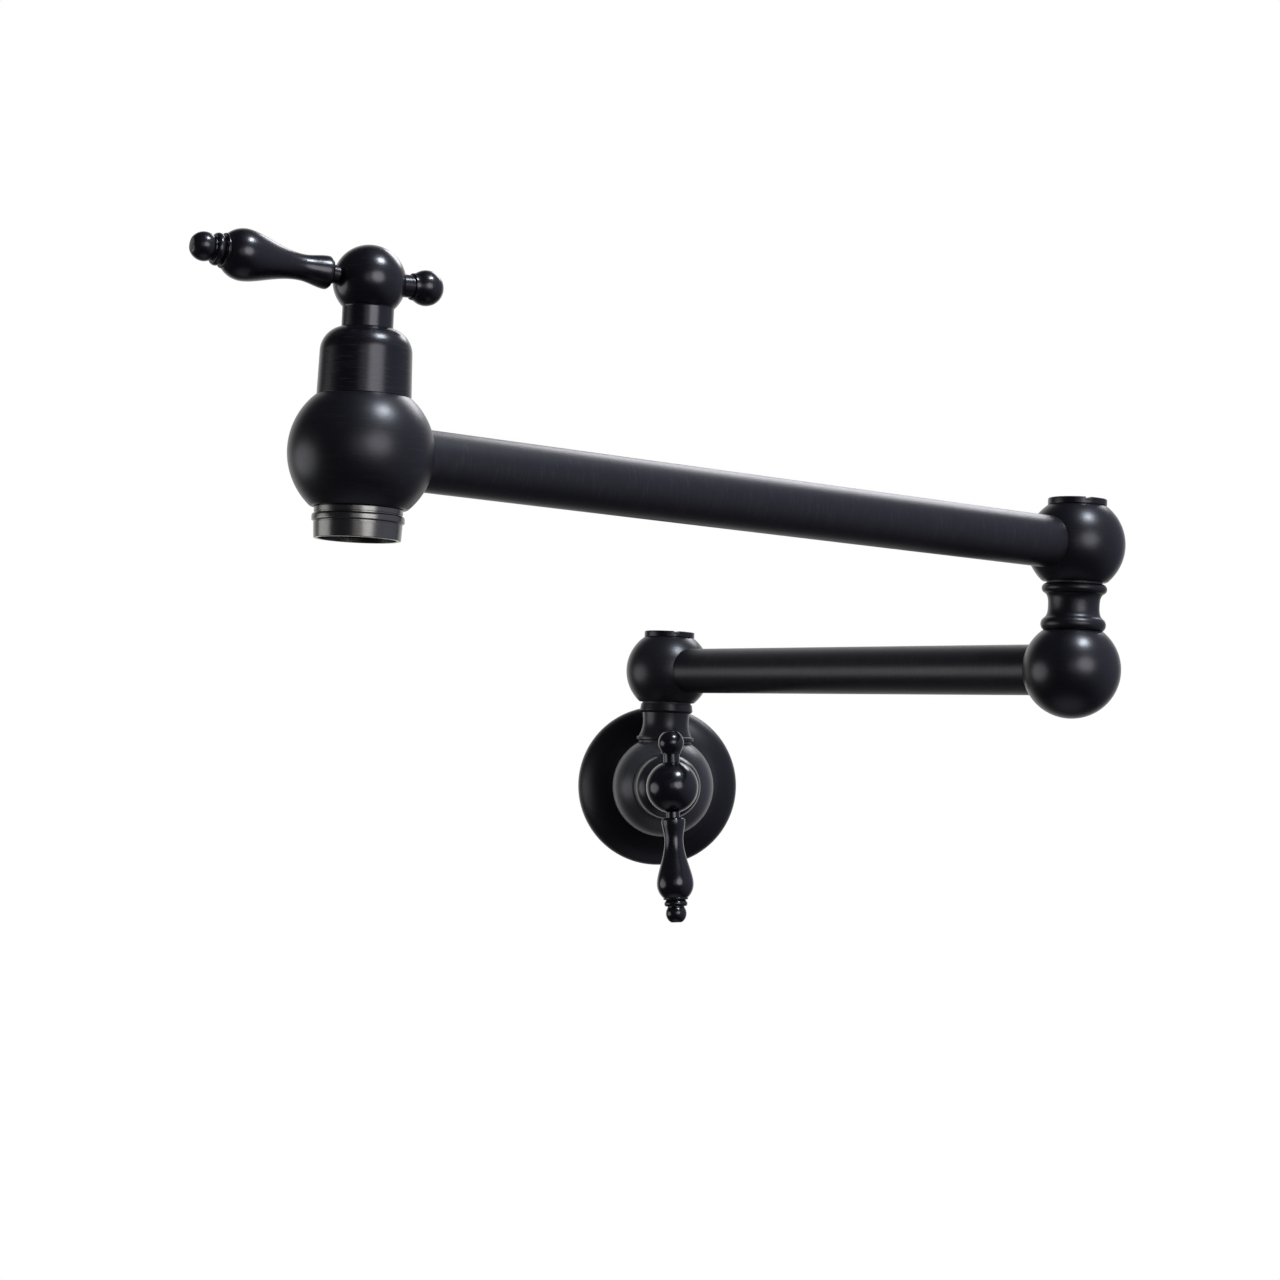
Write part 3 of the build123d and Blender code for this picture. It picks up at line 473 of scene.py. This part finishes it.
def flange():
    """Round wall flange: its face bows from the rim in to a flat nose, and it is hollow behind."""
    rim, lip, hollow, nose, hole = 36.1, 33.9, 30.9, 16.6, 14.15
    rim_height, lip_height, wall, nose_to_ball = 2.8, 2.6, 2.2, 7.36
    face = COLUMN - on_circle(VALVE, nose) - nose_to_ball
    back = face - wall
    return (
        Outline(lip, 0)
        .to((rim, 0, 0.3), (rim, rim_height))
        .flow(
            (rim, rim_height + QUARTER * (face - rim_height)),
            (nose + QUARTER * (rim - nose), face),
            (nose, face),
            steps=40,
        )
        .to((hole, face, 0.35), (hole, back), (nose, back))
        .flow(
            (nose + QUARTER * (hollow - nose), back),
            (hollow, lip_height + QUARTER * (back - lip_height)),
            (hollow, lip_height),
            steps=24,
        )
        .to((lip, lip_height))
        .close()
        .turned(sides=192)
    )


def nipple():
    """Pipe nipple through the wall, with its thread cut as far as a plain waist."""
    bore, crest, root, end = 7.6, 10.45, 9.4, 16.2
    tip, first_tooth, pitch, teeth = -24.0, -23.0, 1.814, 11
    land, groove, groove_end = 0.3, 0.93, 1.18
    outline = Outline(bore, tip).to((crest - 1.0, tip, 0.15))
    for tooth in range(teeth):
        start = first_tooth + tooth * pitch
        outline.to((crest, start), (crest, start + land))
        outline.to((root, start + groove), (root, start + groove_end))
    outline.to((root, SHANK_BACK), (crest, SHANK_BACK), (crest, end), (bore, end))
    return outline.close().turned()


# ---------------------------------------------------------------- pieces of the valves


def valve_ball(outline):
    """Draw on from a valve ball's back: its outside, its bonnet ring and the inside to its port."""
    ring, thread, chamber = 12.5, 9.05, 11.5
    thread_foot, chamber_floor = 9.0, -5.5
    return outline.through((VALVE, 0), (BONNET_FLAT, FRONT), steps=56, rounding=0.25).to(
        (ring, FRONT), (ring, RING_TOP), (thread, RING_TOP), (thread, thread_foot),
        (chamber, thread_foot), (chamber, chamber_floor), (PORT, chamber_floor),
    )


def wall_body():
    """Ball of the wall valve, with its shank behind and the boss for the swivel neck above."""
    shank, socket = 14.0, 10.5
    back, socket_floor = SHANK_BACK - COLUMN, 17.2 - COLUMN
    outline = Outline(socket, back).to((shank, back, 0.3), (shank, -on_circle(VALVE, shank)))
    outline = valve_ball(outline).to((PORT, socket_floor), (socket, socket_floor)).close()
    bm = outline.turned(sides=160)

    radius, root = 11.7, 13.1
    outline = Outline(SPIGOT_BORE, root).to(
        (radius, root), (radius, BOSS_TOP, 0.2), (SPIGOT_BORE, BOSS_TOP)
    )
    boss = outline.close().turned()
    upwards = Matrix(((1, 0, 0), (0, 0, 1), (0, -1, 0))).to_4x4()
    bmesh.ops.transform(boss, matrix=upwards, verts=boss.verts)
    spare = bpy.data.meshes.new("boss")
    boss.to_mesh(spare)
    boss.free()
    bm.from_mesh(spare)
    bpy.data.meshes.remove(spare)
    return bm


def spout_body():
    """Ball of the spout valve, with the screwed hole of the outlet below."""
    thread, thread_top = 12.2, 4.15 - BASE
    outline = valve_ball(Outline(thread, -BASE).to((SPOUT_FLAT, -BASE, 0.55)))
    return outline.to((PORT, thread_top), (thread, thread_top)).close().turned(sides=160)


def bonnet():
    """Cover of a valve: a slightly tapered sleeve with a rounded shoulder."""
    foot, inside, hole = 14.4, 12.55, 8.15
    shoulder, wall = BONNET_TOP - 7.6, 1.85
    taper, bend, lean = 0.35, 7.85, radians(38)
    bend_middle = foot - taper - bend
    return (
        Outline(inside, FRONT)
        .to((foot, FRONT, 0.2), (foot - taper, shoulder))
        .through(
            (bend_middle + bend * cos(lean), shoulder + bend * sin(lean)),
            (hole, BONNET_TOP),
            steps=20,
            rounding=0.3,
        )
        .to((hole, BONNET_TOP - wall))
        .through((inside - 0.95, shoulder + 3.1), (inside, shoulder - 0.9), steps=12)
        .close()
        .turned(sides=144)
    )


def hub():
    """Handle hub: a ball on a skirt that goes down round the cartridge's gland."""
    ball, skirt, cup, socket = 11.2, 7.85, 6.25, 3.8
    foot, cup_top, socket_top = GLAND + 3.0, GLAND + 7.5, SPINDLE + GAP
    return (
        Outline(0, socket_top)
        .to((socket, socket_top), (socket, cup_top), (cup, cup_top), (cup, foot))
        .to((skirt, foot), (skirt, HUB - on_circle(ball, skirt), 0.35))
        .through((ball, HUB), (0, HUB + ball), steps=56)
        .turned()
    )


def lever():
    """Turned lever: stud, collar, waisted grip with a bulb, a bead, a disc and a ball tip."""
    collar, grip, waist, bulb_radius = 2.9, 5.1, 4.0, 7.85
    bead_groove, disc, disc_rim, tip_neck, tip_ball = 4.1, 4.95, 4.45, 3.6, 4.4
    root, bulb, tip = 13.2, 41.2, 53.7
    bulb_tail, half_tail, tip_reach = 5.9, 3.4, 3.8
    bulb_end, tip_end = bulb + bulb_tail, tip + tip_reach
    bead, tip_flat = on_circle(bulb_radius, bulb_tail), on_circle(tip_ball, tip_reach)
    tail = (on_circle(bulb_radius, half_tail), bulb + half_tail)
    bead_middle, bead_end = bulb_end + 0.4, bulb_end + 0.8
    tip_start = tip - on_circle(tip_ball, tip_neck)
    disc_top = tip_start - 0.5
    disc_foot = disc_top - 2.2
    return (
        Outline(0, STUD_ROOT)
        .to((STUD, STUD_ROOT), (STUD, COLLAR_SEAT), (collar, COLLAR_SEAT), (collar, root))
        .to((grip - 1.2, root))
        .through((grip - 0.35, root + 0.35), (grip, root + 1.2), steps=8)
        .flow((grip, root + 3.6), (waist, root + 6.5), (waist, root + 9.2), steps=16)
        .flow((waist, root + 16.5), (bulb_radius, root + 23.0), (bulb_radius, bulb), steps=32)
        .through(tail, (bead, bulb_end), steps=16, rounding=0.12)
        .through((bead + 0.17, bead_middle), (bead - 0.5, bead_end), steps=8, rounding=0.1)
        .to((bead_groove, bead_end, 0.15), (disc_rim, disc_foot, 0.1))
        .through((disc, (disc_foot + disc_top) / 2), (disc_rim, disc_top), steps=10, rounding=0.15)
        .to((tip_neck, disc_top, 0.15), (tip_neck, tip_start, 0.12))
        .through((tip_ball, tip), (tip_flat, tip_end), steps=28, rounding=0.6)
        .to((0, tip_end))
        .turned(sides=112)
    )


def knob():
    """Knob opposite the lever: a ball that tapers to a small step on its stem."""
    stem, foot_radius, ball = 3.5, 4.1, 5.5
    foot, middle = 14.1, 18.85
    blend = (ball * cos(radians(30)), middle - ball * sin(radians(30)))
    return (
        Outline(0, STUD_ROOT)
        .to((STUD, STUD_ROOT), (STUD, COLLAR_SEAT), (stem, COLLAR_SEAT), (stem, foot))
        .to((foot_radius, foot, 0.12))
        .flow((foot_radius, foot + 0.8), (blend[0] - 0.3, blend[1] - 0.52), blend, steps=10)
        .through((ball, middle), (0, middle + ball), steps=36)
        .turned(sides=96)
    )


def nozzle():
    """Screwed outlet: a plain band, a groove, a flat ring, a groove and a tapered lower band."""
    bore, thread, band, groove, ring, aerator = 10.4, 12.15, 13.5, 13.15, 14.1, 11.95
    groove_width, ring_height = 0.4, 2.3
    thread_top, end = 4.1 - BASE, -BASE - 9.5
    band_end = -BASE - 1.6
    ring_top = band_end - groove_width
    ring_foot = ring_top - ring_height
    lower_band = ring_foot - groove_width
    aerator_top = end + 7.9
    return (
        Outline(bore, thread_top)
        .to((thread, thread_top), (thread, -BASE), (band, -BASE, 0.2), (band, band_end, 0.1))
        .to((groove, band_end), (groove, ring_top), (ring, ring_top, 0.75), (ring, ring_foot, 0.4))
        .to((groove, ring_foot), (groove, lower_band), (band, lower_band, 0.1))
        .to((band - 0.25, end + 0.1, 0.12), (band - 0.4, end, 0.08), (aerator, end, 0.15))
        .to((aerator, aerator_top), (bore, aerator_top))
        .close()
        .turned(sides=160)
    )


# ---------------------------------------------------------------- pieces of the arms


def joint_ball():
    """Swivel ball, open below for its neck and above for the retaining nut."""
    nut_well, bore = 8.6, SPIGOT + GAP
    return (
        Outline(FOOT_FLAT, -FOOT)
        .soften(0.4)
        .through((JOINT, 0), (CAP_FLAT, CROWN), steps=56, rounding=0.25)
        .to((nut_well, CROWN), (nut_well, SHOULDER), (bore, SHOULDER), (bore, -FOOT))
        .close()
        .turned(sides=144)
    )


def lower_ball():
    """Lower ball of the elbow, solid below, with the screwed hole of the elbow neck above."""
    top = on_circle(JOINT, ELBOW_FLAT)
    thread, thread_foot = NECK_STUD + GAP, top - NECK_STUD_LENGTH
    chamber, chamber_floor = 7.0, -7.0
    return (
        Outline(0, -JOINT)
        .through((JOINT, 0), (ELBOW_FLAT, top), steps=72, rounding=0.3)
        .to((thread, top), (thread, thread_foot))
        .to((chamber, thread_foot), (chamber, chamber_floor), (0, chamber_floor))
        .turned(sides=144)
    )


def cap():
    """Cap of a swivel ball, with the plug that presses into the nut's space."""
    rim, plug = 11.1, 8.55
    plug_foot, top = CROWN - 1.5, CROWN + CAP_HEIGHT
    return (
        Outline(0, plug_foot)
        .to((plug, plug_foot), (plug, CROWN), (rim, CROWN, 0.3), (rim, top, 0.5), (0, top))
        .turned()
    )


def slot_cutter(placed):
    """Bar that cuts the screwdriver slot across a cap."""
    slot_width, slot_depth = 2.4, 1.6
    bm = bmesh.new()
    bmesh.ops.create_cube(bm, size=1.0)
    bmesh.ops.scale(bm, vec=(30, slot_width, 2 * slot_depth), verts=bm.verts)
    bmesh.ops.translate(bm, vec=(0, 0, CROWN + CAP_HEIGHT), verts=bm.verts)
    to_place(bm, placed)
    return bm


def neck_below(foot):
    """Start a neck's outline: its water way, and the screwed stud below its foot."""
    stud_foot = foot - NECK_STUD_LENGTH
    return Outline(0, WATER).to(
        (SPIGOT_BORE, WATER), (SPIGOT_BORE, stud_foot), (NECK_STUD, stud_foot), (NECK_STUD, foot)
    )


def neck_above(outline):
    """End a neck's outline: the spigot that the ball turns on, and the stud for its nut."""
    stud, stud_top = 4.95, SHOULDER + 3.9
    return outline.to(
        (SPIGOT, NECK_TOP), (SPIGOT, SHOULDER), (stud, SHOULDER), (stud, stud_top, 0.4),
        (0, stud_top),
    ).turned()


def wall_neck():
    """Neck between the wall valve and its swivel: a ring, a long waist and a collar."""
    ring, waist, collar = 12.7, 10.15, 11.75
    foot = BOSS_TOP - RISE
    ring_top, collar_foot = foot + 1.8, NECK_TOP - 3.5
    middle = (ring_top + collar_foot) / 2 + 1.0
    return neck_above(
        neck_below(foot)
        .to((ring, foot, 0.5), (ring, ring_top, 0.5), (waist + 1.6, ring_top, 0.1))
        .flow((waist + 1.2, ring_top + 1.4), (waist, ring_top + 3.2), (waist, middle), steps=14)
        .flow(
            (waist, collar_foot - 2.5),
            (waist + 0.2, collar_foot - 1.2),
            (waist + 0.25, collar_foot - 0.5),
            steps=8,
        )
        .to((collar - 0.5, collar_foot, 0.15), (collar, collar_foot + 0.5, 0.2))
        .to((collar - 0.45, NECK_TOP, 0.2))
    )


def elbow_neck():
    """Neck between the two balls of the elbow: a bead, a hollow waist and a second bead."""
    bead, throat, waist = 12.25, 10.95, 9.65
    foot = on_circle(JOINT, ELBOW_FLAT) - ELBOW_RISE
    low, high = foot + 4.8, NECK_TOP - 3.7
    middle = (low + high) / 2
    return neck_above(
        neck_below(foot)
        .to((throat, foot))
        .through((bead, foot + 2.4), (throat, low), steps=18, rounding=0.2)
        .flow((waist + 0.3, low + 0.9), (waist, middle - 2.6), (waist, middle), steps=12)
        .flow((waist, middle + 2.6), (waist + 0.3, high - 0.9), (throat, high), steps=12)
        .soften(0.2)
        .through((bead, NECK_TOP - 1.85), (throat, NECK_TOP), steps=18)
    )


def tube(end):
    """Plain tube from its socket in a swivel ball to its other end."""
    radius, bore = 9.75, 8.5
    return (
        Outline(bore, JOINT_SOCKET)
        .to((radius, JOINT_SOCKET), (radius, end), (bore, end))
        .close()
        .turned(sides=144)
    )


# ---------------------------------------------------------------- the pieces in their places


def handle_side(placed, direction, tilt):
    """Seat at the hub's middle whose axis leans out of the level direction by a tilt."""
    axis = placed.to_3x3().col[2]
    middle = placed.translation / MM + axis * HUB
    return seat(middle, direction * cos(radians(tilt)) + axis * sin(radians(tilt)), axis)


# The grey added to each piece's black is a painted sheen, larger on pieces that stand in more
# light.
fit("wall_flange", flange(), WALL,
    satin_black("flange_black", WALL, grain=0.15, gloss=-0.06, shine=0.32, painted_sheen=0.0025))
fit("wall_valve_body", wall_body(), WALL_VALVE,
    satin_black("wall_ball_black", WALL_VALVE, grain=0.8, painted_sheen=0.034))
fit("spout_body", spout_body(), SPOUT_VALVE,
    satin_black("spout_ball_black", SPOUT_VALVE, grain=0.45, painted_sheen=0.0015))
fit("inlet_nipple", nipple(), WALL, brass)

hanging = -UP * cos(radians(WALL_LEVER_SWING)) + SIDE * sin(radians(WALL_LEVER_SWING))
# The last figure of each row is a painted sheen on the bonnet: the wall bonnet is painted lighter.
for prefix, placed, direction, polish, bonnet_painted_sheen in (
    ("wall", WALL_VALVE, hanging, 0.14, 0.012),
    ("spout", SPOUT_VALVE, heading(SPOUT_LEVER_HEADING), 0.08, 0.0),
):
    axis = placed.to_3x3().col[2]
    lever_side = handle_side(placed, direction, LEVER_TILT)
    knob_side = handle_side(placed, -direction, KNOB_TILT)
    grub_point = placed.translation / MM + axis * (BONNET_TOP + GRUB_HEIGHT)
    grub_side = seat(grub_point, direction.cross(axis), axis)
    grub_hole = drill(grub_side, radius=2.05, bottom=2.0, top=12.0)
    fit(prefix + "_bonnet", bonnet(), placed,
        satin_black(prefix + "_bonnet_black", placed, grain=0.8, gloss=0.09, painted_sheen=bonnet_painted_sheen))
    fit(prefix + "_handle_hub", hub(), placed,
        satin_black(prefix + "_hub_black", placed, grain=0.4, gloss=polish, shine=0.6),
        [grub_hole])
    fit(prefix + "_handle_lever", lever(), lever_side,
        satin_black(prefix + "_lever_black", lever_side,
                    grain=0.3, gloss=polish, shine=0.6, grit=0.2))
    fit(prefix + "_handle_knob", knob(), knob_side,
        satin_black(prefix + "_knob_black", knob_side,
                    grain=0.2, gloss=polish, shine=0.6, grit=0.2))

# The last figure of each row is a painted sheen on the swivel ball.
for prefix, placed, slot_heading, ball_painted_sheen in (
    ("wall_swivel", WALL_SWIVEL, WALL_SLOT_HEADING, 0.006),
    ("elbow_swivel", ELBOW_SWIVEL, ELBOW_SLOT_HEADING, 0.001),
):
    fit(prefix + "_ball", joint_ball(), placed,
        satin_black(prefix + "_ball_black", placed, painted_sheen=ball_painted_sheen))
    slotted = seat(placed.translation / MM, UP, heading(slot_heading))
    fit(prefix + "_cap", cap(), placed, satin_black(prefix + "_cap_black", placed, gloss=0.05),
        [slot_cutter(slotted)])

fit("elbow_lower_ball", lower_ball(), ELBOW_LOW,
    satin_black("lower_ball_black", ELBOW_LOW, gloss=0.02, shine=0.6))
fit("wall_swivel_neck", wall_neck(), WALL_SWIVEL,
    satin_black("wall_neck_black", WALL_SWIVEL, painted_sheen=0.008))
fit("elbow_neck", elbow_neck(), ELBOW_SWIVEL,
    satin_black("elbow_neck_black", ELBOW_SWIVEL, grain=0.5))
fit("inner_tube", tube(INNER_REACH - JOINT_SOCKET), INNER_TUBE,
    satin_black("inner_tube_black", INNER_TUBE, grain=1.0, painted_sheen=0.0045))
fit("outer_tube", tube(OUTER_REACH - SPOUT_SOCKET), OUTER_TUBE,
    satin_black("outer_tube_black", OUTER_TUBE, grain=1.0, painted_sheen=0.003))
fit("outlet_nozzle", nozzle(), SPOUT_VALVE,
    satin_black("nozzle_black", SPOUT_VALVE,
                grain=0.6, gloss=0.12, warm=0.14, shine=1.0, ior=1.8))


# ---------------------------------------------------------------- camera and lamps

YAW, PITCH, ROLL = radians(3.68), radians(2.68), radians(2.48)
SENSOR, LENS = 36.0, 80.07
CAMERA_POINT = (-0.09442, -1.3026, 0.00524)
ahead = Vector((sin(YAW) * cos(PITCH), cos(YAW) * cos(PITCH), sin(PITCH)))
level_right = ahead.cross(UP).normalized()
level_up = level_right.cross(ahead)
right = level_right * cos(ROLL) + level_up * sin(ROLL)
above = level_up * cos(ROLL) - level_right * sin(ROLL)

camera = bpy.data.objects.new("camera", bpy.data.cameras.new("camera"))
camera.data.sensor_fit = "HORIZONTAL"
camera.data.sensor_width, camera.data.lens = SENSOR, LENS
camera.data.clip_start, camera.data.clip_end = 0.01, 100
view = Matrix((right, above, -ahead)).transposed().to_4x4()
camera.matrix_world = Matrix.Translation(CAMERA_POINT) @ view
bpy.context.scene.collection.objects.link(camera)
bpy.context.scene.camera = camera


def lamp(name, hung_to, distance, size, watts, colour):
    """Softbox hung to the right, above and in front of the tap, as the camera sees it."""
    middle = Vector((0.0, -0.25, 0.05))
    side, height, front = hung_to
    softbox = bpy.data.lights.new(name, "AREA")
    softbox.shape = "ELLIPSE"
    softbox.size, softbox.size_y = size
    softbox.energy, softbox.color = watts, colour
    hung = bpy.data.objects.new(name, softbox)
    direction = (right * side + above * height - ahead * front).normalized()
    hung.location = middle + direction * distance
    hung.rotation_mode = "QUATERNION"
    hung.rotation_quaternion = (-direction).to_track_quat("-Z", "Y")
    bpy.context.scene.collection.objects.link(hung)


lamp("top_softbox", (0.40, 0.86, 0.30), 1.8, (0.48, 0.36), 23, (0.82, 0.89, 1.0))
lamp("front_softbox", (0.48, 0.22, 0.87), 2.6, (1.65, 1.4), 21, (0.92, 0.91, 1.0))
lamp("front_fill", (0.12, 0.18, 0.97), 2.7, (1.7, 1.3), 3.6, (0.92, 0.92, 1.0))
lamp("left_softbox", (-0.98, -0.07, 0.0), 2.4, (2.1, 1.3), 12, (0.92, 0.93, 1.0))
lamp("rim_softbox", (0.33, 0.58, -0.75), 2.4, (1.3, 0.8), 15, (0.95, 0.95, 1.0))


# ---------------------------------------------------------------- floor and world

FLOOR_DROP, FLOOR_HALF = 3.6, 8.0
FADE_START, FADE_END = 3.7, 4.3     # the floor fades into the world, from the middle outwards

bm = bmesh.new()
bmesh.ops.create_grid(bm, x_segments=1, y_segments=1, size=FLOOR_HALF)
bmesh.ops.translate(bm, verts=bm.verts, vec=(0, 0, -FLOOR_DROP))
floor = shown("floor", bm)
f = material("pale_floor")
place = f.node("ShaderNodeTexCoord", output="Object")
pale = f.mix(f.noise(place, (3, 3, 3)), (0.84, 0.84, 0.84), (0.88, 0.88, 0.88))
away = f.node("ShaderNodeVectorMath", {"operation": "LENGTH"}, {0: place}, output=1)
shade = f.node("ShaderNodeBsdfDiffuse", {}, {"Color": pale})
white = f.node("ShaderNodeEmission", {}, {"Strength": 1.0})
lit = f.node("ShaderNodeMixShader", {}, {0: f.ray("Camera") * 0.85, 1: shade, 2: white})
open_room = f.node("ShaderNodeBsdfTransparent")
faded = {0: f.ramp(away, FADE_START, FADE_END), 1: lit, 2: open_room}
floor.data.materials.append(f.surface(f.node("ShaderNodeMixShader", {}, faded)))

# The camera sees a white room. Reflections see it only behind the tap and not far below it, and
# elsewhere a dim room that is lighter to the upper right, so that the black coat stays black.
world = bpy.data.worlds.new("studio")
bpy.context.scene.world = world
f = Finish(world)
direction = f.node("ShaderNodeTexCoord", output="Generated")
wall_side = f.ramp(f.side(direction, "Y"), 0.58, 0.9)
over_floor = f.ramp(f.side(direction, "Z"), -0.85, -0.15)
mirrored = (f.ray("Glossy") + f.ray("Transmission")) * wall_side * over_floor
upper_right = f.node(
    "ShaderNodeVectorMath", {"operation": "DOT_PRODUCT"}, {0: direction, 1: (0.9, -0.1, 0.42)}, 1
)
dim = f.mix(f.ramp(upper_right, 0.25, 0.95), (0.04, 0.04, 0.05), (0.34, 0.35, 0.46))
dim_room = f.node("ShaderNodeBackground", {}, {"Color": dim, "Strength": 1.0})
white_room = f.node("ShaderNodeBackground", {}, {"Color": (1, 1, 1, 1), "Strength": 1.0})
room = {0: f.ray("Camera") + mirrored, 1: dim_room, 2: white_room}
f.surface(f.node("ShaderNodeMixShader", {}, room))

bpy.context.scene.view_settings.view_transform = "Standard"
